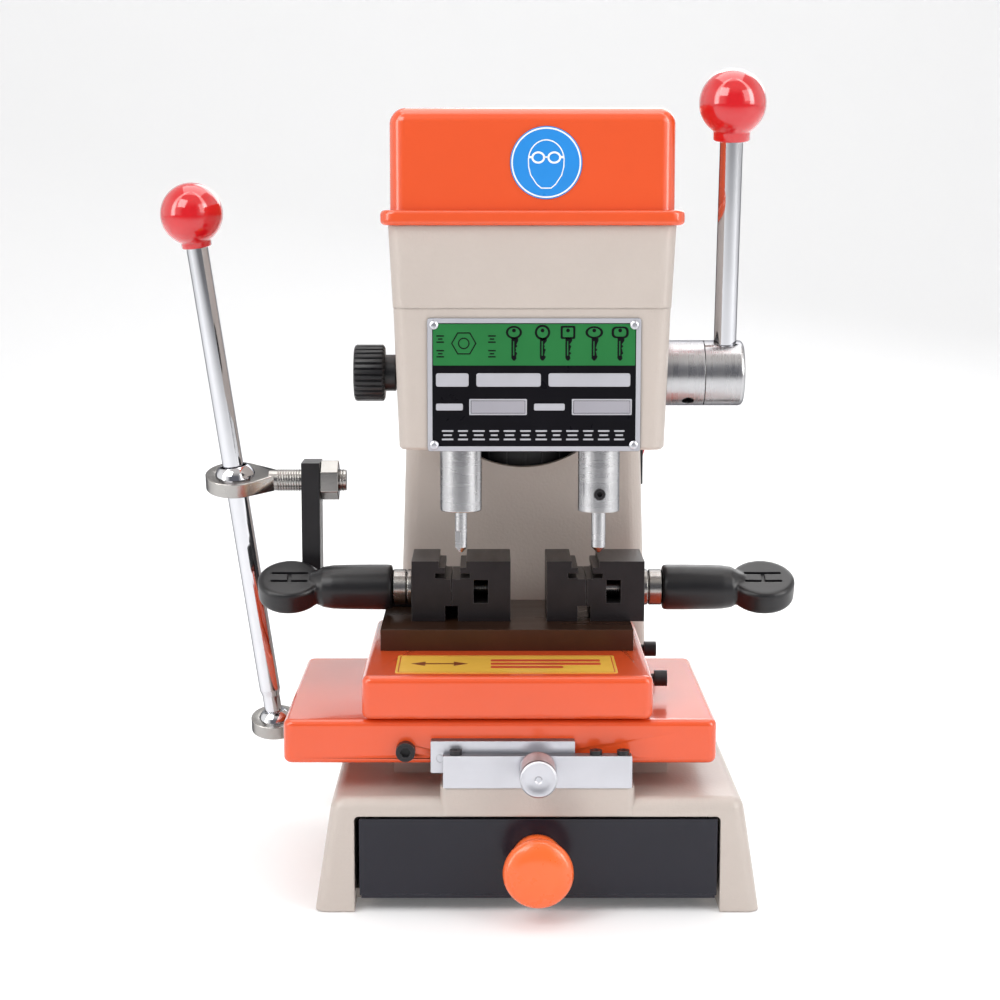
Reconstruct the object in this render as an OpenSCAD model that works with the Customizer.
// Vertical key duplicating machine: a cast base with a drawer, a cast column and
// head, a cutter and a tracer that come down together, and a two-way carriage
// with two key vices that is steered by one long lever.
// X is to the right, Y is to the back, Z is up. The origin is the middle of the
// base's footprint, on the resting plane. Lengths are in millimetres.

/* [Base] */
// Width of the base at the bench
base_bottom_w = 230; // [220:1:240]
// Width of the base at its deck
base_top_w = 214; // [208:1:220]
// Depth of the base
base_d = 285; // [284:1:290]
// Height of the deck above the bench
base_h = 60; // [59:0.5:61]
// Width of the drawer opening
bay_w = 189; // [187:0.5:191]
// Height of the top of the drawer opening
bay_top = 50.5; // [50:0.5:52]

/* [Drawer] */
// Width of the drawer's front panel
drawer_w = 185; // [180:1:186]
// Height of the drawer's front panel
drawer_h = 40.8; // [36:0.2:41]
// Length of the drawer's tray behind the panel
drawer_l = 245; // [180:5:250]
// Diameter of the drawer's pull knob
pull_d = 36; // [28:1:40]
// Height of the pull knob's axis
pull_z = 27.8; // [24:0.2:30]

/* [Carriage] */
// Thickness of the lower slide
lower_t = 23.1; // [22.5:0.1:23.1]
// Thickness of the upper slide
upper_t = 22.8; // [22:0.1:23]
// Clearance of the dovetail ways
way_gap = 0.08; // [0.05:0.01:0.1]
// Thickness of the gib strips
gib_t = 4; // [3:0.5:5]
// Thickness of the block under the vices
block_t = 11.7; // [11:0.1:11.7]

/* [Vices] */
// Width of the key slot at its floor
slot_w = 8.2; // [6:0.2:9]
// Width of the key slot at its mouth
slot_mouth = 15; // [12:0.5:16]
// Depth of the key slot
slot_depth = 10; // [8:0.5:11]
// Diameter of the handles' grips
grip_d = 25.5; // [22:0.5:26]
// Diameter of the handles' end paddles
paddle_d = 36; // [30:1:37]

/* [Steering lever] */
// Diameter of the lever's rod
rod_d = 12; // [10:0.5:12]
// Diameter of the ball knobs
ball_d = 35; // [30:1:38]
// Bore of the guide ball that the lever's rod passes through
guide_bore = 15; // [14.5:0.1:15.2]

/* [Head] */
// Width of the head at its lower edge
head_bottom_w = 139; // [136:1:142]
// Width of the head at its upper edge
head_top_w = 149.5; // [146:0.5:150]
// Diameter of the cutter's and the tracer's barrels
barrel_d = 22; // [20:0.5:22]
// Diameter of the cutter
cutter_d = 6.3; // [3:0.1:6.4]
// Diameter of the tracer
tracer_d = 7.5; // [3:0.1:7.6]
// Module of the feed rack and pinion
feed_module = 1; // [1:1:1]
// Number of pinion teeth
feed_teeth = 22; // [22:1:22]

/* [Motor drive] */
// Diameter of the motor's case
motor_d = 86; // [70:1:88]
// Pitch diameter of the motor's pulley
motor_pulley_d = 50; // [40:1:54]
// Pitch diameter of the spindle's pulley
spindle_pulley_d = 32; // [28:1:36]
// Wall of the belt cover
cover_t = 3; // [2:0.5:4]

/* [Hidden] */
$fn = 64;

cast = "#C4BAB4";
orange = "#F06440";
black = "#2A292B";
steel = "#B9BCC2";
aluminium = "#D7D8E0";
brass = "#B08D3C";
knob_red = "#EB3A3A";
vice_grey = "#37363A";

// The two ends of a span, given its middle and half its length
function around(middle, half) = [middle - half, middle + half];

// Middle of the head and of the belt cover
head_x = -2.5;

// Carriage heights
lower_z0 = 75.3;
lower_z1 = lower_z0 + lower_t;
upper_z0 = 99.5;
upper_z1 = upper_z0 + upper_t;
block_z1 = upper_z1 + block_t;
seat_z = block_z1 + 0.05; // seat of the parts on the block

// Quill: axes of the cutter, the tracer and the guide rods as [x, y]
quill_y = -79;
cutter_at = [-39.9, quill_y];
tracer_at = [33.6, quill_y];
guide_rods_at = [for (x = [cutter_at.x, tracer_at.x]) [x, -38]];
sleeve_r = 12.9;
barrel_r = barrel_d / 2;
// Lower and upper faces of the quill's yoke
yoke_z0 = 306;
yoke_z1 = 332;
// Lower end of the cutter and the tracer
tip_z = 178.3;

// Feed shaft axis as [y, z]
feed_y = -60;
feed_z = 273;
feed_at = [feed_y, feed_z];

// Motor axis, and the power inlet below it
motor_x = -4;
motor_at = [motor_x, 88];
inlet_z = 108;

// Power switch: the flat's X, its middle, and half the size of its body
switch_x = motor_x + 70.3;
switch_y = 87;
switch_z = 211;
switch_half_y = 10.5;
switch_half_z = 14.5;

// Ways: dovetails given by their half-widths at the foot and at the top
x_way_y = -65;
x_way_foot = 15;
x_way_top = 21;
x_way_z0 = 74.8;
x_way_z1 = lower_z0 + 11.95;
y_way_x = -14.85;
y_way_foot = 18;
y_way_top = 24;
y_way_z1 = 116;

// Screw places on [x, y]
column_bolts = [for (x = around(motor_x, 50), y = [52, 124]) [x, y]];
lock_plate_screws = [for (x = [-42, 30, 44]) [x, -140]];
top_plate_screws = [for (x = around(head_x, 57.2), y = [-90.2, 24.2]) [x, y]];
front_stud = [36, 15];
rear_stud = [-50, 70];
block_screws = [[-57, -12], [-57, -40], [44, -12], [44, -40]];
bracket_screws = [[-52, 7], [-72, 7]];
// Screw and rivet places on [x, z]
rear_cover_screws = [for (x = around(motor_x, 57), z = [90, 328]) [x, z]];
rivets = [for (x = [-53.5, 50.5], z = [238.5, 301]) [x, z]];
strip_screws = [[-50, 80], [14, 80]];
x_gib_screw = [-68, 83];
x_lock_at = [0, 76.8];
// Screw places on [y, z]
y_gib_screws = [[-2, 109], [-78, 109]];

// Steering lever: foot, guide and knob
lever_foot = [-151.3, 22, 59.6];
lever_top = [-190.7, -9, 357.5];
lever = lever_top - lever_foot;
lever_guide = lever_foot + lever * (206 - lever_foot.z) / lever.z;
lever_l = norm(lever);
lever_lean = atan2(-lever.y, lever.z);
lever_side = asin(lever.x / lever_l);

// ------------------------------------------------------------------ shapes
module box(x0, x1, y0, y1, z0, z1) {
  translate([x0, y0, z0]) cube([x1 - x0, y1 - y0, z1 - z0]);
}
// Cylinders along each axis; at is the axis's place on the other two
module cyl_x(x0, x1, at, r) {
  translate([x0, at[0], at[1]]) rotate([0, 90, 0]) cylinder(h = x1 - x0, r = r);
}
module cyl_y(y0, y1, at, r) {
  translate([at[0], y0, at[1]]) rotate([-90, 0, 0]) cylinder(h = y1 - y0, r = r);
}
module cyl_z(z0, z1, at, r) {
  translate([at.x, at.y, z0]) cylinder(h = z1 - z0, r = r);
}
module rounded_rect(x0, x1, y0, y1, r) {
  union() {
    translate([x0 + r, y0]) square([x1 - x0 - 2 * r, y1 - y0]);
    translate([x0, y0 + r]) square([x1 - x0, y1 - y0 - 2 * r]);
    for (x = [x0 + r, x1 - r], y = [y0 + r, y1 - r]) translate([x, y]) circle(r);
  }
}
module slab(x0, x1, y0, y1, z0, z1, r) {
  translate([0, 0, z0]) linear_extrude(z1 - z0) rounded_rect(x0, x1, y0, y1, r);
}
// A rounded slab standing in the XZ plane
module slab_y(x0, x1, z0, z1, y0, y1, r) {
  translate([0, y1, 0]) rotate([90, 0, 0]) linear_extrude(y1 - y0) rounded_rect(x0, x1, z0, z1, r);
}
// A polygon in the XZ plane, pulled along Y
module prism_y(points, y0, y1) {
  translate([0, y1, 0]) rotate([90, 0, 0]) linear_extrude(y1 - y0) polygon(points);
}
// A polygon in the YZ plane, pulled along X
module prism_x(points, x0, x1) {
  translate([x0, 0, 0]) rotate([90, 0, 90]) linear_extrude(x1 - x0) polygon(points);
}
// Thin discs at the corners of a rounded body, to be hulled
module corner_discs(xs, ys, z, r, h = 0.5) {
  for (x = xs, y = ys) translate([x, y, z]) cylinder(r = r, h = h, $fn = 32);
}
module corner_balls(xs, ys, z, r) {
  for (x = xs, y = ys) translate([x, y, z]) sphere(r, $fn = 32);
}
module at_each(places, z) {
  for (p = places) translate([p.x, p.y, z]) children();
}
// Socket-head cap screw pointing down: seat at the origin, head above
module cap_screw(d, l, head_d, head_h, socket_d) {
  difference() {
    union() {
      translate([0, 0, -l]) cylinder(h = l + 0.5, d = d);
      cylinder(h = head_h, d = head_d);
    }
    translate([0, 0, head_h * 0.45]) cylinder(h = head_h, d = socket_d, $fn = 6);
  }
}
// Ball knob round the origin, with a neck and a bore below
module ball_knob(neck_drop, neck_h, neck_r, bore_r) {
  difference() {
    union() {
      sphere(d = ball_d, $fn = 64);
      translate([0, 0, -ball_d / 2 - neck_drop]) cylinder(h = neck_h, r = neck_r);
    }
    translate([0, 0, -30]) cylinder(h = 25, r = bore_r);
  }
}

// ------------------------------------------------------------------ base
module base_casting() {
  half_d = base_d / 2;
  way_x0 = -76;
  way_x1 = 71;
  color(cast) difference() {
    union() {
      difference() {
        hull() {
          corner_discs(around(0, base_bottom_w / 2 - 6), around(0, half_d - 6), 0, 6, h = 1);
          corner_balls(around(0, base_top_w / 2 - 7), around(0, half_d - 8), base_h - 7, 7);
        }
        slab_y(-bay_w / 2, bay_w / 2, -20, bay_top, -half_d - 5, half_d - 12, 2.5);
      }
      // pad for the cross-travel lock
      slab(-50, 50, -142.6, -112, 51, 66, 4);
      // pedestal and way for the cross travel
      box(way_x0, way_x1, x_way_y - 26, x_way_y + 26, 55, x_way_z0);
      prism_x([
        [x_way_y - x_way_foot, x_way_z0 - 1], [x_way_y + x_way_foot, x_way_z0 - 1],
        [x_way_y + x_way_foot, x_way_z0], [x_way_y + x_way_top, x_way_z1],
        [x_way_y - x_way_top, x_way_z1], [x_way_y - x_way_foot, x_way_z0]], way_x0, way_x1);
      // cross web and drawer ledges
      box(-97, 97, -10, 10, 0, 5);
      for (x = [-96, 86]) box(x, x + 10, -128, 118, 3, 8);
      // boss for the steering lever's foot
      cyl_x(-125, -100, [lever_foot.y, lever_foot.z], 12);
    }
    // bore for the foot's shank
    cyl_x(-130, -99, [lever_foot.y, lever_foot.z], 5.05);
    // tapped holes for the lock plate and the column
    for (p = lock_plate_screws) cyl_z(54, 70, p, 2.05);
    for (p = column_bolts) cyl_z(45, 62, p, 5.03);
  }
}

module base_screws() {
  color(steel) at_each(column_bolts, 66.05) cap_screw(10, 14, 16, 9, 8);
  color(steel) at_each(lock_plate_screws, 83.02) cap_screw(4, 26, 6.4, 2.4, 2.5);
}

// ------------------------------------------------------------------ column and head
column_z1 = 352;
plate_z0 = 340;
plate_z1 = 348;
cover_z1 = 412;

module column_casting() {
  column_r = 10;
  column_ys = [45, 130];
  head_ys = [-100 + 8, 50];
  band_ys = [-100.8 + 8, 50];
  bottom_xs = around(head_x, head_bottom_w / 2 - 8);
  half_top = head_top_w / 2;
  top_z = column_z1 - 0.5;
  color(cast) difference() {
    union() {
      // column, drawn in towards the head
      hull() {
        corner_discs([motor_x - 75.3 + column_r, motor_x + 73.7 - column_r], column_ys, base_h, column_r);
        corner_discs([motor_x - 69.5 + column_r, motor_x + 67.9 - column_r], column_ys, 236, column_r);
      }
      slab(motor_x - 68, motor_x + 67.9, 35, 140, 236, column_z1, column_r);
      // head, with a band round its upper part that stands a little proud
      hull() {
        corner_discs(bottom_xs, head_ys, 235.7, 6.8);
        corner_discs(bottom_xs, head_ys, 237, 8);
        corner_discs(around(head_x, half_top - 8.8), head_ys, top_z, 8);
      }
      hull() {
        corner_discs(around(head_x, half_top - 10.2), band_ys, 309.6, 8);
        corner_discs(around(head_x, half_top - 8), band_ys, top_z, 8);
      }
      // flat for the switch
      box(motor_x + 60, switch_x, switch_y - 14, switch_y + 14, switch_z - 18, switch_z + 18);
    }
    // chamber of the head, open at the top
    slab(head_x - 61, head_x + 61, -94, 28, 246, column_z1 + 1, 4);
    // chamber of the column
    slab(motor_x - 62, motor_x + 62, 41, 134, 66, column_z1 + 1, 6);
    // round window between the two chambers
    cyl_y(30, 45, [-5, 270], 60);
    // opening at the back
    box(motor_x - 52, motor_x + 52, 130, 145, 84, 334);
    // clearance holes for the bolts that hold the column down
    for (p = column_bolts) cyl_z(59, 67, p, 5.25);
    // quill and tracer bores
    cyl_z(230, 250, cutter_at, sleeve_r + 0.05);
    cyl_z(230, 250, tracer_at, barrel_r + 0.05);
    // guide rod seats
    for (p = guide_rods_at) cyl_z(240, 250, p, 6.02);
    // feed shaft bushes
    for (x = [head_x - 90, head_x + 50]) cyl_x(x, x + 40, feed_at, 9.03);
    // hole for the power switch
    box(motor_x + 55, motor_x + 75,
      switch_y - switch_half_y - 0.05, switch_y + switch_half_y + 0.05,
      switch_z - switch_half_z - 0.05, switch_z + switch_half_z + 0.05);
    // name plate rivets and rear cover screws
    for (p = rivets) cyl_y(-101, -95, p, 1.55);
    for (p = rear_cover_screws) cyl_y(130, 141, p, 2.05);
  }
  // corner posts that carry the top plate
  color(cast) for (p = top_plate_screws) difference() {
    box(p.x - 4, p.x + 4, p.y - 4, p.y + 4, 245, plate_z0 - 0.05);
    cyl_z(325, 341, p, 2.05);
  }
}

module top_plate() {
  color(steel) difference() {
    slab(head_x - 60.9, head_x + 60.9, -93.9, 27.9, plate_z0, plate_z1, 4);
    cyl_z(335, 350, cutter_at, 9.03);
    for (p = guide_rods_at) cyl_z(335, 350, p, 6.02);
    for (p = top_plate_screws) cyl_z(335, 350, p, 2.1);
    cyl_z(335, 350, front_stud, 3.02);
  }
}

module cover_screws() {
  color(steel) at_each(top_plate_screws, plate_z1 + 0.02) cap_screw(4, 20, 7, 4, 3);
  // slotted countersunk screws of the rear cover
  color(steel) for (p = rear_cover_screws) translate([p[0], 142.02, p[1]]) rotate([-90, 0, 0])
    difference() {
      union() {
        translate([0, 0, -7.8]) cylinder(d = 4, h = 8.3);
        cylinder(d1 = 8, d2 = 5.5, h = 2);
      }
      translate([-4, -0.5, 1]) cube([8, 1, 2]);
    }
}

module cover_solid(inset, z0, z1, r) {
  xs = around(head_x, 73.7 - inset - r);
  ys = [-101 + inset + r, 141 - inset - r];
  hull() {
    corner_discs(xs, ys, z0, r, h = 1);
    corner_balls(xs, ys, z1 - r, r);
  }
}
module belt_cover() {
  color(orange) difference() {
    union() {
      cover_solid(0, 353, cover_z1, 8.5);
      slab(head_x - 78.6, head_x + 78.6, -105, 145, 352.1, 360, 8);
    }
    cover_solid(cover_t, 350, cover_z1 - cover_t, 6);
    for (p = [front_stud, rear_stud]) cyl_z(400, 420, p, 3.2);
  }
}
// Studs, and a washer and nut on each
module cover_fixings() {
  color(steel) {
    cyl_z(341, 416.4, front_stud, 3);
    cyl_z(325, 416.4, rear_stud, 3);
  }
  color(steel) for (p = [front_stud, rear_stud]) difference() {
    union() {
      cyl_z(cover_z1 + 0.05, 413, p, 7);
      translate([p.x, p.y, 413]) cylinder(h = 3.1, r = 5.8, $fn = 6);
    }
    cyl_z(411, 420, p, 3.02);
  }
}

module name_plate() {
  color("#0E0D12") difference() {
    slab_y(-57, 54, 235.2, 304.6, -100.9, -100.1, 1.5);
    for (p = rivets) cyl_y(-102, -99, p, 1.55);
  }
}
module name_plate_rivets() {
  // columns: radius, height
  head_profile = [[0, 0], [2.4, 0], [2.2, 0.7], [1.3, 1.2], [0, 1.35]];
  color(aluminium) for (p = rivets) {
    cyl_y(-101, -95.2, p, 1.5);
    translate([p[0], -100.92, p[1]]) rotate([90, 0, 0]) rotate_extrude() polygon(head_profile);
  }
}
module safety_label() {
  color("#2F86D2") cyl_y(-101.45, -101.02, [4.4, 384], 18.5);
}

module rear_cover() {
  color(black) difference() {
    slab_y(motor_x - 62, motor_x + 62, 78, 340, 140.05, 142, 6);
    for (p = rear_cover_screws) cyl_y(139, 143, p, 2.1);
    // vents, and the hole for the inlet
    for (k = [0:6]) slab_y(motor_x - 30, motor_x + 30, 250 + k * 9, 254 + k * 9, 139, 143, 1.9);
    slab_y(motor_x - 24, motor_x + 24, inlet_z - 11.6, inlet_z + 11.6, 139, 143, 2);
  }
}

// ------------------------------------------------------------------ motor and drive
belt_z0 = 366;
belt_z1 = 378;

module motor_housing() {
  motor_r = motor_d / 2;
  color(black) difference() {
    union() {
      cyl_z(150, 324, motor_at, motor_r);
      for (a = [0:15:359]) translate([motor_at.x, motor_at.y, 165]) rotate([0, 0, a])
        translate([motor_r - 1, -1, 0]) cube([2, 2, 140]);
    }
    cyl_z(149, 325, motor_at, 6.6);
    // ring recesses in both ends
    for (z = [149, 314]) difference() {
      cyl_z(z, z + 11, motor_at, motor_r - 7);
      cyl_z(z, z + 11, motor_at, 14);
    }
  }
}
module motor_mount_plate() {
  color(steel) difference() {
    slab(motor_x - 61.9, motor_x + 61.9, 41.1, 133.9, 324.05, 331, 7);
    cyl_z(320, 335, motor_at, 12);
    cyl_z(320, 335, rear_stud, 3.02);
  }
}
// A flat-belt pulley with rims and a hub above; r is its working radius
module pulley(at, r, bore_r) {
  difference() {
    union() {
      cyl_z(belt_z0 - 3, belt_z1 + 3, at, r - 0.1);
      cyl_z(belt_z0 - 3, belt_z0 - 0.4, at, r + 2.6);
      cyl_z(belt_z1 + 0.4, belt_z1 + 3, at, r + 2.6);
      cyl_z(belt_z1, belt_z1 + 9, at, bore_r + 5);
    }
    cyl_z(belt_z0 - 20, belt_z1 + 20, at, bore_r);
    // lightening holes, on a large pulley only
    for (a = [0:60:359]) if (r > 20)
      cyl_z(belt_z0 - 10, belt_z1 + 4, at + (r + bore_r + 4) / 2 * [cos(a), sin(a)],
        (r - bore_r - 8) / 2);
  }
}
module motor_rotor() {
  color(steel) cyl_z(151, 388, motor_at, 6);
  color(aluminium) pulley(motor_at, motor_pulley_d / 2, 6.02);
}
module spindle_pulley() {
  bore_r = 6.05;
  color(aluminium) difference() {
    union() {
      pulley(cutter_at, spindle_pulley_d / 2, bore_r);
      difference() {
        cyl_z(340.5, 364, cutter_at, 8.96);
        cyl_z(340, 365, cutter_at, bore_r);
      }
    }
    cyl_z(339, 395, cutter_at, bore_r);
  }
}
// Points where a common tangent touches circles c1 and c2; side is 1 or -1
function tangent(c1, r1, c2, r2, side) =
  let (
    across = c2 - c1,
    a = atan2(across.y, across.x) + side * acos((r1 - r2) / norm(across))
  )
  [c1 + r1 * [cos(a), sin(a)], c2 + r2 * [cos(a), sin(a)]];
// Outline of the belt, grown by offset_r from the pulleys' working radii
module belt_loop(offset_r, z0, z1) {
  r1 = motor_pulley_d / 2 + offset_r;
  r2 = spindle_pulley_d / 2 + offset_r;
  a = tangent(motor_at, r1, cutter_at, r2, 1);
  b = tangent(motor_at, r1, cutter_at, r2, -1);
  cyl_z(z0, z1, motor_at, r1);
  cyl_z(z0, z1, cutter_at, r2);
  translate([0, 0, z0]) linear_extrude(z1 - z0) polygon([a[0], a[1], b[1], b[0]]);
}
module drive_belt() {
  color(black) difference() {
    belt_loop(2.2, belt_z0, belt_z1);
    belt_loop(0.02, belt_z0 - 1, belt_z1 + 1);
  }
}
module motor_capacitor() {
  color(black) {
    cyl_z(66.1, 136, [22, 80], 17);
    cyl_z(136, 140, [22, 80], 12);
  }
}
module power_inlet() {
  color(black) {
    difference() {
      union() {
        slab_y(motor_x - 23.8, motor_x + 23.8, inlet_z - 11.4, inlet_z + 11.4, 118, 142.3, 1.8);
        slab_y(motor_x - 27, motor_x + 27, inlet_z - 14.6, inlet_z + 14.6, 142.1, 144, 3);
      }
      slab_y(motor_x - 12, motor_x + 12, inlet_z - 8.5, inlet_z + 8.5, 128, 146, 3);
    }
  }
  // pins
  color(steel) for (p = [[-7, -2], [7, -2], [0, 3]]) {
    x = motor_x + p[0];
    z = inlet_z + p[1];
    box(x - 1, x + 1, 127, 138, z - 2, z + 2);
  }
}
// A block round the switch's middle, from x0 to x1 off the flat
module switch_block(x0, x1, half_y, half_z) {
  box(switch_x + x0, switch_x + x1,
    switch_y - half_y, switch_y + half_y, switch_z - half_z, switch_z + half_z);
}
module switch_bezel() {
  color(black) difference() {
    union() {
      switch_block(-14, 0.5, switch_half_y, switch_half_z);
      switch_block(0.05, 2, switch_half_y + 2, switch_half_z + 2);
    }
    switch_block(-12, 3, 8, 12);
  }
}
module switch_rocker() {
  color("#B01E1E") translate([switch_x - 3, 0, switch_z]) rotate([0, 10, 0])
    prism_y([[-3.5, -3], [1.5, -10.8], [6.3, -10.6], [5, 0], [6.3, 10.6], [1.5, 10.8], [-3.5, 3]],
      switch_y - 7.8, switch_y + 7.8);
}

// ------------------------------------------------------------------ cross-travel lock
module x_lock_plate() {
  color(aluminium) difference() {
    slab_y(-48.5, 48.5, 66.05, 83, -143.5, -137, 0.8);
    cyl_y(-145, -135, x_lock_at, 3.06);
    for (p = lock_plate_screws) cyl_z(60, 85, p, 2.05);
  }
}
module x_lock_knob() {
  // columns: radius, distance forward
  profile = [[0, 0], [6.5, 0], [6.5, 2.5], [8.8, 2.5], [9.5, 3.2], [9.5, 22], [8.6, 23], [0, 23]];
  color(aluminium) {
    cyl_y(-146, -137.2, x_lock_at, 3);
    translate([x_lock_at[0], -143.6, x_lock_at[1]]) rotate([90, 0, 0])
      rotate_extrude() polygon(profile);
  }
}

// ------------------------------------------------------------------ feed
pressure_angle = 20;
addendum = 0.95 * feed_module;
dedendum = 1.25 * feed_module;
pitch_r = feed_module * feed_teeth / 2;
root_r = pitch_r - dedendum;
involute_r = pitch_r * cos(pressure_angle);
// Half-angle that a tooth of the pinion covers at its pitch circle
tooth_half = 90 / feed_teeth - 0.35;
function involute(t) =
  involute_r * [cos(t) + t * PI / 180 * sin(t), sin(t) - t * PI / 180 * cos(t)];
// Roll angle at which the involute reaches radius r
function roll(r) = sqrt(r * r / (involute_r * involute_r) - 1) * 180 / PI;
function turned(p, a) = [p.x * cos(a) - p.y * sin(a), p.x * sin(a) + p.y * cos(a)];
function mirrored(points) = [for (i = [len(points) - 1:-1:0]) [points[i].x, -points[i].y]];
flank_start = let (p = involute(roll(pitch_r))) atan2(p.y, p.x);
tooth_side = [
  for (i = [0:6])
    let (r = involute_r + 0.001 + (pitch_r + addendum - involute_r) * i / 6)
    turned(involute(roll(r)), -flank_start - tooth_half)];
module pinion_2d() {
  union() {
    circle(root_r);
    for (k = [0:feed_teeth - 1]) rotate(k * 360 / feed_teeth + 180 / feed_teeth)
      polygon(concat([[root_r - 1, -1.2]], tooth_side, mirrored(tooth_side), [[root_r - 1, 1.2]]));
  }
}
module pinion_shaft() {
  color(steel) {
    cyl_x(-72, 109.3, feed_at, 5.95);
    // a tooth gap faces the rack, so a rack tooth sits in it
    translate([-10, feed_y, feed_z]) rotate([90, 0, 90]) linear_extrude(14) rotate(180) pinion_2d();
  }
}
module feed_shaft_bushes() {
  color(brass) for (x = [-71.5, 56]) difference() {
    cyl_x(x, x + 13.5, feed_at, 9);
    cyl_x(x - 1, x + 14.5, feed_at, 6);
  }
}
module feed_shaft_collar() {
  color(steel) difference() {
    cyl_x(69.6, 89.9, feed_at, 17.5);
    cyl_x(68, 92, feed_at, 6);
    translate([81.4, feed_y, feed_z]) rotate([145, 0, 0]) cylinder(h = 20, r = 3.2);
  }
}
// Feed lever: forward and upward reach of its knob from the shaft
feed_reach = [22, 142];
feed_lever_l = norm(feed_reach);
// Turns local +Z to the feed lever's direction, dist along it
module along_feed_lever(dist) {
  translate([101.6, feed_y, feed_z]) rotate([atan2(feed_reach[0], feed_reach[1]), 0, 0])
    translate([0, 0, dist]) children();
}
module feed_hub() {
  color(steel) difference() {
    cyl_x(90.3, 111.4, feed_at, 17.5);
    cyl_x(90, 109.5, feed_at, 6);
    along_feed_lever(0) cylinder(h = 30, r = 6.02);
  }
}
module feed_rod() {
  color(steel) along_feed_lever(8) cylinder(h = feed_lever_l - 8 - 6, r = 6);
}
module feed_knob() {
  color(knob_red) along_feed_lever(feed_lever_l) ball_knob(2, 8, 9.75, 6.02);
}
module quill_lock_knob() {
  color(black) {
    difference() {
      cyl_x(-97.3, -80.8, feed_at, 15.2);
      // grip flutes
      for (a = [0:12:359]) translate([0, feed_y, feed_z]) rotate([a, 0, 0])
        cyl_x(-98, -80, [15.7, 0], 1.05);
    }
    cyl_x(-81, -74.6, feed_at, 9.8);
    cyl_x(-75, -72.2, feed_at, 5.9);
  }
}

// ------------------------------------------------------------------ quill
module quill_yoke() {
  rack_x0 = -9.5;
  rack_x1 = 3.5;
  rack_z0 = 265.6;
  root_y = feed_y - pitch_r - dedendum;
  tip_y = feed_y - pitch_r + addendum;
  pitch = PI * feed_module;
  // half-heights of a rack tooth, with 0.07 of play on each flank
  root_half = pitch / 4 + dedendum * tan(pressure_angle) - 0.07;
  tip_half = pitch / 4 - addendum * tan(pressure_angle) - 0.07;
  tooth = [[root_y, -root_half], [tip_y, -tip_half], [tip_y, tip_half], [root_y, root_half]];
  color(cast) difference() {
    union() {
      slab(-54.8, 49.4, -92.5, -27, yoke_z0, yoke_z1, 5);
      cyl_z(237, yoke_z0 + 1, cutter_at, sleeve_r);
      // rack near the yoke's middle, teeth towards the feed shaft
      box(rack_x0, rack_x1, -82, root_y, rack_z0, yoke_z0 + 1);
      prism_x(concat(
        [[root_y - 1, rack_z0]],
        [for (k = [-2:9], p = tooth) [p[0], feed_z + k * pitch + p[1]]],
        [[root_y - 1, feed_z + 9.6 * pitch]]), rack_x0, rack_x1);
    }
    cyl_z(230, 340, cutter_at, 10.53);
    cyl_z(300, 340, tracer_at, barrel_r + 0.02);
    for (p = guide_rods_at) cyl_z(300, 340, p, 6.05);
  }
}
module spindle_bearings() {
  color(steel) for (z = [238, 300, 320]) difference() {
    cyl_z(z, z + 5, cutter_at, 10.5);
    cyl_z(z - 1, z + 6, cutter_at, 6);
    // ring grooves in both faces
    for (k = [z - 0.5, z + 4.6]) difference() {
      cyl_z(k, k + 0.9, cutter_at, 9.1);
      cyl_z(k - 1, k + 2, cutter_at, 7.4);
    }
  }
}
module spindle_shaft() {
  cutter_r = cutter_d / 2;
  color(steel) difference() {
    union() {
      cyl_z(201, 236.5, cutter_at, barrel_r);
      cyl_z(236, 390, cutter_at, 5.95);
    }
    cyl_z(200, 228, cutter_at, cutter_r + 0.03);
    translate([cutter_at.x, cutter_at.y, 200.9]) cylinder(h = 1.2, r1 = cutter_r + 1.2, r2 = cutter_r);
  }
}
// A pin from z0 to z1 that tapers below z0 to a blunt tip
module pointed_pin(at, z0, z1, d) {
  cyl_z(z0, z1, at, d / 2);
  translate([at.x, at.y, tip_z]) cylinder(h = z0 + 0.01 - tip_z, r1 = 0.9, r2 = d / 2);
}
module cutter() {
  color(steel) difference() {
    union() pointed_pin(cutter_at, 181, 227, cutter_d);
    // two flutes
    for (a = [0, 180]) translate([cutter_at.x, cutter_at.y, 177]) rotate([0, 0, a])
      translate([0.35, 0.2, 0]) cube([4, 4, 13]);
  }
}
tracer_screw_at = [tracer_at.x, 211];
module tracer_bar() {
  color(steel) difference() {
    cyl_z(201, yoke_z1 - 0.5, tracer_at, barrel_r);
    cyl_z(200, 245, tracer_at, tracer_d / 2 + 0.03);
    cyl_y(-95, quill_y, tracer_screw_at, 3.02);
  }
}
module tracer_pin() {
  color(steel) pointed_pin(tracer_at, 181.2, 243, tracer_d);
}
module tracer_screw() {
  color(black) difference() {
    cyl_y(quill_y - barrel_r - 0.6, quill_y - tracer_d / 2 - 0.05, tracer_screw_at, 3);
    translate([tracer_screw_at[0], quill_y - barrel_r - 1, tracer_screw_at[1]])
      rotate([-90, 0, 0]) cylinder(h = 3.4, r = 1.7, $fn = 6);
  }
}
module guide_rods() {
  color(steel) for (p = guide_rods_at) cyl_z(240.2, 347.8, p, 6);
}
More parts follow.
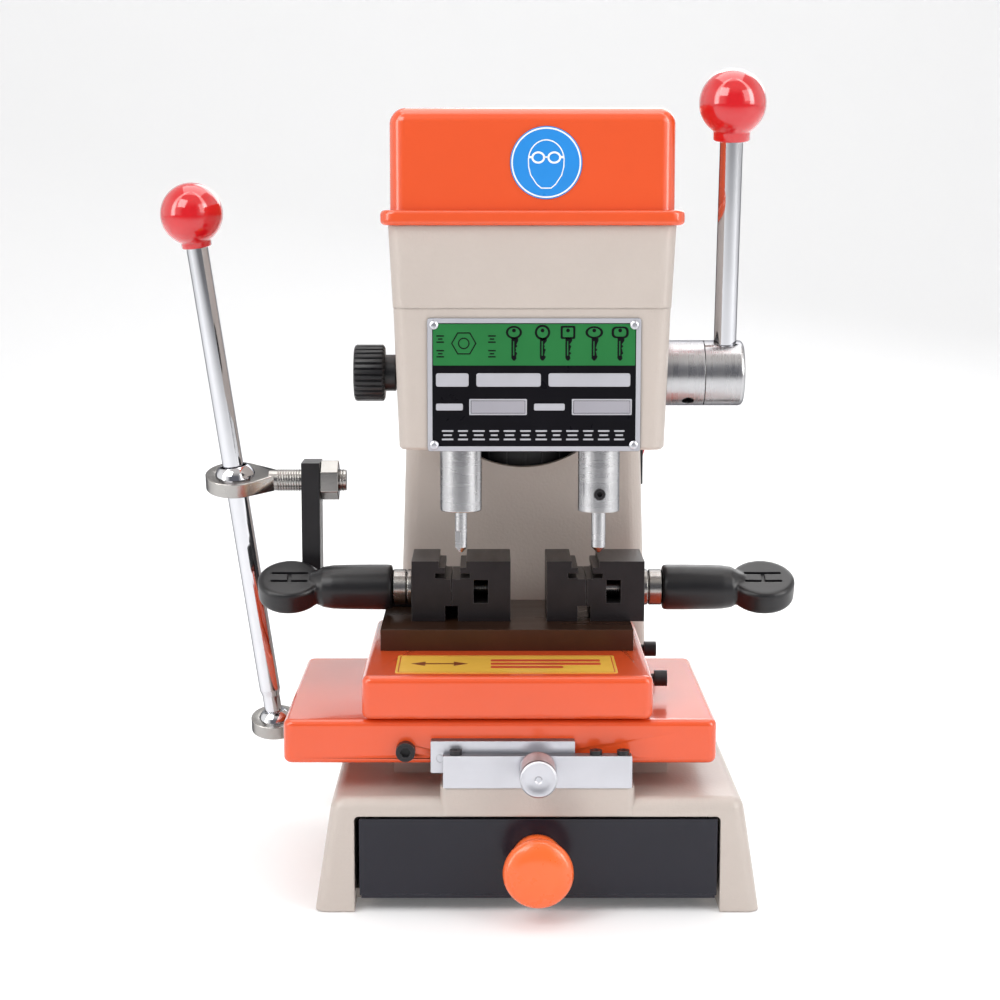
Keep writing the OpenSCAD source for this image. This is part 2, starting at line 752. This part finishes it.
// A coil spring: mean radius r, steps per turn, and a wire of `sides` sides
module coil(at, z0, h, r, wire_r, turns, steps, sides = 5) {
  n = turns * steps;
  lead = (h - 2 * wire_r) / n;
  points = [
    for (i = [0:n], j = [0:sides - 1])
      let (a = i * 360 / steps, b = j * 360 / sides, reach = r + wire_r * cos(b))
      [at.x + reach * cos(a), at.y + reach * sin(a), z0 + wire_r + i * lead + wire_r * sin(b)]];
  // point j of ring i
  function ring(i, j) = i * sides + j % sides;
  faces = concat(
    [[for (j = [0:sides - 1]) j]],
    [for (i = [0:n - 1], j = [0:sides - 1]) [ring(i, j), ring(i + 1, j), ring(i + 1, j + 1)]],
    [for (i = [0:n - 1], j = [0:sides - 1]) [ring(i, j), ring(i + 1, j + 1), ring(i, j + 1)]],
    [[for (j = [sides - 1:-1:0]) ring(n, j)]]);
  polyhedron(points, faces, convexity = 10);
}
module return_springs() {
  color(steel) for (p = guide_rods_at)
    coil(p, z0 = 246.1, h = 59.7, r = 7.6, wire_r = 0.8, turns = 7, steps = 12);
}

// ------------------------------------------------------------------ drawer
module drawer_tray() {
  x0 = -drawer_w / 2 + 0.5;
  x1 = drawer_w / 2 + 0.5;
  z0 = 8.2;
  back_y = -139 + drawer_l;
  color("#393842") difference() {
    union() {
      slab_y(x0, x1, z0, z0 + drawer_h, -141, -139, 0.6);
      box(x0 + 2, x1 - 2, -139.5, back_y, z0, 42);
      box(x0 + 1, x1 - 1, -141.4, -136, 7, 9);
    }
    box(x0 + 3.2, x1 - 3.2, -139, back_y - 1.2, 9.6, 45);
    cyl_y(-145, -130, [0, pull_z], 2.05);
  }
}
module drawer_knob() {
  // columns: radius, distance forward
  stem = [
    [0, 0], [13.2, 0], [13.5, 1.5], [13.2, 5], [12, 6.5], [12, 9],
    [12.8, 10.5], [12.8, 14], [12.4, 16], [13.6, 18.4], [14.3, 18.8]];
  rim = [for (a = [-60:20:60]) [pull_d / 2 - 3.6 + 3.6 * cos(a), 24 + 5.4 * sin(a)]];
  face = [[11, 30.2], [6, 30.8], [0, 31]];
  color("#F07038") translate([0, -141.05, pull_z]) rotate([90, 0, 0])
    rotate_extrude() polygon(concat(stem, rim, face));
  color(steel) cyl_y(-141.6, -134, [0, pull_z], 2);
}

// ------------------------------------------------------------------ carriage
upper_x1 = 59.8;

module lower_slide() {
  // way for the in-and-out travel
  way = [
    [y_way_x - y_way_foot, lower_z1 - 2], [y_way_x + y_way_foot, lower_z1 - 2],
    [y_way_x + y_way_foot, lower_z1 + 0.3], [y_way_x + y_way_top, y_way_z1],
    [y_way_x - y_way_top, y_way_z1], [y_way_x - y_way_foot, lower_z1 + 0.3]];
  // groove for the cross way, with room for the gib at the front
  back_y = x_way_y + x_way_foot;
  front_y = x_way_y - x_way_foot - 0.25 - gib_t;
  groove = [
    [back_y + 0.25 + way_gap, lower_z0 - 0.5], [x_way_y + x_way_top + way_gap, x_way_z1 + 0.06],
    [x_way_y - x_way_top - gib_t, x_way_z1 + 0.06], [front_y, lower_z0 - 0.5],
    [front_y, lower_z0 - 1], [back_y + 0.5, lower_z0 - 1]];
  color(orange) difference() {
    union() {
      slab(-131.7, 93.2, -130, 24, lower_z0, lower_z1, 5);
      prism_y(way, -121, 4);
    }
    prism_x(groove, -116, 100);
    cyl_y(-131, -84, x_gib_screw, 3.03);
    for (p = strip_screws) cyl_y(-131, -118, p, 2.05);
  }
}
module x_gib() {
  foot_y = x_way_y - x_way_foot - 0.25;
  top_y = x_way_y - x_way_top;
  color(brass) prism_x([
    [foot_y - way_gap, lower_z0], [top_y - way_gap, x_way_z1 - 0.2],
    [top_y - gib_t + 0.12, x_way_z1 - 0.2], [foot_y - gib_t + 0.02, lower_z0]], -115.8, 90);
  // lock screw that stands out of the slide's front
  color(black) difference() {
    union() {
      cyl_y(-135, -87.6, x_gib_screw, 3);
      cyl_y(-136.6, -131.2, x_gib_screw, 5);
    }
    translate([x_gib_screw[0], -136.7, x_gib_screw[1]]) rotate([-90, 0, 0])
      cylinder(h = 3, r = 2.9, $fn = 6);
  }
}
module x_lock_strip() {
  color(aluminium) difference() {
    slab_y(-55, 19.4, 72.2, 89, -136.5, -130.05, 0.8);
    for (p = strip_screws) cyl_y(-137, -129, p, 2.05);
  }
  color(steel) for (p = strip_screws) cyl_y(-136.4, -119, p, 2);
}
module upper_slide() {
  // groove for the in-and-out way, with room for the gib at the right
  left_x = y_way_x - y_way_foot - 0.4;
  right_x = y_way_x + y_way_foot + 0.4 + gib_t;
  groove = [
    [left_x - way_gap, upper_z0 - 0.5], [y_way_x - y_way_top - way_gap, y_way_z1 + 0.06],
    [y_way_x + y_way_top + gib_t, y_way_z1 + 0.06], [right_x, upper_z0 - 0.5],
    [right_x, upper_z0 - 2], [left_x, upper_z0 - 2]];
  color(orange) difference() {
    slab(-90.6, upper_x1, -134, 20, upper_z0, upper_z1, 5);
    prism_y(groove, -125.9, 30);
    for (p = y_gib_screws) cyl_x(y_way_x + 20, upper_x1 + 1, p, 2.53);
    for (p = block_screws) cyl_z(117, 123, p, 2.53);
  }
}
module y_gib() {
  foot_x = y_way_x + y_way_foot + 0.5;
  top_x = y_way_x + y_way_top;
  color(brass) prism_y([
    [foot_x + way_gap, upper_z0 + 0.1], [top_x + way_gap, y_way_z1 - 0.2],
    [top_x + gib_t - 0.15, y_way_z1 - 0.2], [foot_x + gib_t - 0.1, upper_z0 + 0.1]], -125.8, 18);
}
module upper_slide_screws() {
  color(black) for (p = y_gib_screws) difference() {
    union() {
      cyl_x(y_way_x + 26.8, 65, p, 2.5);
      cyl_x(64.4, 71.2, p, 4.3);
    }
    translate([68, p[0], p[1]]) rotate([0, 90, 0]) cylinder(h = 4, r = 2.3, $fn = 6);
  }
  // screws of the lever's bracket
  color(black) at_each(bracket_screws, 143.52) cap_screw(5, 20, 8.6, 5, 4);
}
module vice_base_block() {
  color("#3A2E28") difference() {
    box(-84, 53.6, -70, 18, upper_z1 + 0.02, block_z1);
    for (p = block_screws) {
      cyl_z(120, 140, p, 2.53);
      cyl_z(128.5, 140, p, 4.4);
    }
    for (p = bracket_screws) cyl_z(123, 140, p, 2.53);
  }
  // screws that hold the block on the slide
  color(black) at_each(block_screws, 128.52) cap_screw(5, 11, 8.6, 5, 4);
}
module slide_label() {
  color("#F0BC4A") slab(-73.7, 42, -125.7, -83, upper_z1 + 0.02, upper_z1 + 0.35, 2);
}

// Flat bar on the block, behind the left vice, bent up into an arm
module lever_bracket() {
  bar_z1 = seat_z + 9.45;
  arm_x0 = -132;
  arm_x1 = -121.5;
  arm_z1 = lever_guide.z + 11;
  outer_r = 14;
  inner_r = 4.5;
  outer_bend = [for (a = [270:-15:180])
    [arm_x0 + outer_r + outer_r * cos(a), seat_z + outer_r + outer_r * sin(a)]];
  inner_bend = [for (a = [180:15:270])
    [arm_x1 + inner_r + inner_r * cos(a), bar_z1 + inner_r + inner_r * sin(a)]];
  color(black) difference() {
    prism_y(concat([[-42, bar_z1], [-42, seat_z]], outer_bend,
      [[arm_x0, arm_z1], [arm_x1, arm_z1]], inner_bend), -4, 18);
    cyl_x(-140, -110, [lever_guide.y, lever_guide.z], 6.05);
    for (p = bracket_screws) cyl_z(123, 150, p, 2.7);
  }
}

// ------------------------------------------------------------------ vices
// X of each vice's left side, right side and slot middle
left_vice = [-67.8, -13, -45.1];
right_vice = [7, 61, 28.3];
vice_z1 = 167.7;
dowel_ys = [-41, -11];
// Vice screw axis as [y, z]
vice_screw_at = [-26, 149.6];

// Section of a vice across its slot
module vice_section(vice) {
  slot_x = vice[2];
  floor_z = vice_z1 - slot_depth;
  difference() {
    translate([vice[0], seat_z]) square([vice[1] - vice[0], vice_z1 - seat_z]);
    translate([slot_x - slot_mouth / 2, vice_z1 - 3.7]) square([slot_mouth, 5]);
    translate([slot_x - slot_w / 2, floor_z]) square([slot_w, 20]);
    translate([slot_x - slot_w / 2 - 5.5, floor_z + 0.55]) square([slot_w + 11, 2.7]);
    translate([slot_x - 4.2, block_z1 - 1]) square([7.2, 9.7]);
  }
}
// The part of a vice from x0 to x1
module vice_half(vice, x0, x1, window = false) {
  slot_x = vice[2];
  difference() {
    intersection() {
      translate([0, -4.4, 0]) rotate([90, 0, 0]) linear_extrude(42.6) vice_section(vice);
      box(x0, x1, -60, 0, 120, 180);
    }
    if (window) box(slot_x + 11.6, slot_x + 19.6, -48, -19, 144.4, 157.3);
    for (y = dowel_ys) cyl_x(slot_x - 14, slot_x + 10, [y, 147], 2.55);
  }
}
module vice_bodies() {
  color(vice_grey) {
    difference() {
      vice_half(left_vice, left_vice[2] - 0.45, left_vice[1] + 1, window = true);
      cyl_x(-50, -17, vice_screw_at, 5);
    }
    difference() {
      vice_half(right_vice, right_vice[0] - 1, right_vice[2] + 0.45);
      cyl_x(11, 40, vice_screw_at, 5);
    }
  }
  // dowels that keep the jaws square
  color(steel) for (x = [left_vice[2], right_vice[2]], y = dowel_ys)
    cyl_x(x - 13.5, x + 9.5, [y, 147], 2.5);
}
module left_vice_jaw() {
  color(vice_grey) difference() {
    vice_half(left_vice, left_vice[0] - 1, left_vice[2] - 0.75);
    cyl_x(-70, -40, vice_screw_at, 5.06);
  }
}
module right_vice_jaw() {
  color(vice_grey) difference() {
    vice_half(right_vice, right_vice[2] + 0.75, right_vice[1] + 1, window = true);
    cyl_x(20, 70, vice_screw_at, 5.06);
  }
}
// Handle along +X from its collar's face at x = 0: screw, collar, grip and end paddle
module vice_handle(screw_l, paddle_x) {
  grip_end = 54;
  color(steel) difference() {
    union() {
      cyl_x(-screw_l, 2, [0, 0], 4.95);
      cyl_x(0.15, 3, [0, 0], 10);
      translate([3, 0, 0]) rotate([0, 90, 0]) cylinder(h = 8.2, r = 10, $fn = 6);
    }
  }
  color(black) {
    cyl_x(11.3, grip_end, [0, 0], grip_d / 2);
    translate([paddle_x, 0, 0]) rotate([25, 0, 0]) difference() {
      union() {
        translate([0, 0, -7]) cylinder(h = 14, d = paddle_d);
        box(-paddle_x + grip_end - 6, 0, -10, 10, -7, 7);
      }
      // H-shaped groove in both faces
      for (y = [-3.8, 3.8], z = [5.8, -8]) translate([-10.5, y - 1.1, z]) cube([21, 2.2, 2.2]);
      for (z = [5.8, -8]) translate([-1.1, -3.8, z]) cube([2.2, 7.6, 2.2]);
    }
  }
}
module left_vice_handle() {
  translate([left_vice[0], vice_screw_at[0], vice_screw_at[1]]) mirror([1, 0, 0])
    vice_handle(50, 69.2);
}
module right_vice_handle() {
  translate([right_vice[1], vice_screw_at[0], vice_screw_at[1]]) vice_handle(49, 67.8);
}

// ------------------------------------------------------------------ steering lever
pivot_ball_r = 10;
guide_ball_r = 12;

// A rod end: leaning ring, ball socket, a web that narrows to the shank, and a
// shank along +X whose start and end are measured from the ring's centre
module rod_end(centre, ring_r, width, ball_r, shank_r, start, end) {
  web_x = ring_r * cos(62);
  web_y = ring_r * sin(62);
  difference() {
    union() {
      translate(centre) rotate([16, 0, 0]) translate([0, 0, -width / 2])
        linear_extrude(width) union() {
          circle(ring_r);
          polygon([
            [0, -ring_r * 0.7], [web_x, -web_y], [start, -shank_r],
            [start, shank_r], [web_x, web_y], [0, ring_r * 0.7]]);
        }
      cyl_x(centre.x + start - 3, centre.x + end, [centre.y, centre.z], shank_r);
    }
    translate(centre) sphere(ball_r + 0.06, $fn = 64);
  }
}
module pivot_eye() {
  color(steel) rod_end(lever_foot, 14, 8, pivot_ball_r, 5, 18.5, 50.5);
}
module guide_eye() {
  color(steel) rod_end(lever_guide, 17, 8.4, guide_ball_r, 6, 22.5, 63.8);
}
module guide_eye_nut() {
  color(steel) difference() {
    translate([-121.4, lever_guide.y, lever_guide.z]) rotate([0, 90, 0])
      cylinder(h = 10.3, r = 11.5, $fn = 6);
    cyl_x(-122, -108, [lever_guide.y, lever_guide.z], 6.02);
  }
}
// Turns local +Z to the lever's direction
module along_lever(at) {
  translate(at) rotate([lever_lean, 0, 0]) rotate([0, lever_side, 0]) children();
}
// A ball cut flat at both ends
module flat_ball(r, h) {
  intersection() {
    sphere(r, $fn = 64);
    translate([-20, -20, -h / 2]) cube([40, 40, h]);
  }
}
module guide_ball() {
  color(steel) along_lever(lever_guide) difference() {
    flat_ball(guide_ball_r, 17);
    translate([0, 0, -15]) cylinder(h = 30, d = guide_bore);
  }
}
module lever_rod() {
  color(steel) {
    along_lever(lever_foot) {
      flat_ball(pivot_ball_r, 15);
      translate([0, 0, -8.5]) cylinder(h = 26, r = 5);
      translate([0, 0, 17.4]) cylinder(h = 3.6, r1 = 5, r2 = rod_d / 2);
      translate([0, 0, 20.9]) cylinder(h = lever_l - 20.9 - 6, r = rod_d / 2);
    }
  }
}
module lever_knob() {
  color(knob_red) along_lever(lever_top) ball_knob(1.2, 6, 8.5, rod_d / 2 + 0.03);
}

base_casting();
base_screws();
column_casting();
top_plate();
cover_screws();
belt_cover();
cover_fixings();
name_plate();
name_plate_rivets();
safety_label();
rear_cover();
motor_housing();
motor_mount_plate();
motor_rotor();
motor_capacitor();
drive_belt();
power_inlet();
switch_bezel();
switch_rocker();
x_lock_plate();
x_lock_knob();
guide_rods();
return_springs();
feed_shaft_bushes();
feed_shaft_collar();
pinion_shaft();
feed_hub();
feed_rod();
feed_knob();
quill_lock_knob();
quill_yoke();
spindle_bearings();
tracer_bar();
tracer_pin();
tracer_screw();
spindle_shaft();
cutter();
spindle_pulley();
drawer_tray();
drawer_knob();
lower_slide();
x_gib();
x_lock_strip();
upper_slide();
y_gib();
upper_slide_screws();
vice_base_block();
slide_label();
lever_bracket();
vice_bodies();
left_vice_jaw();
right_vice_jaw();
left_vice_handle();
right_vice_handle();
pivot_eye();
guide_eye();
guide_eye_nut();
guide_ball();
lever_rod();
lever_knob();
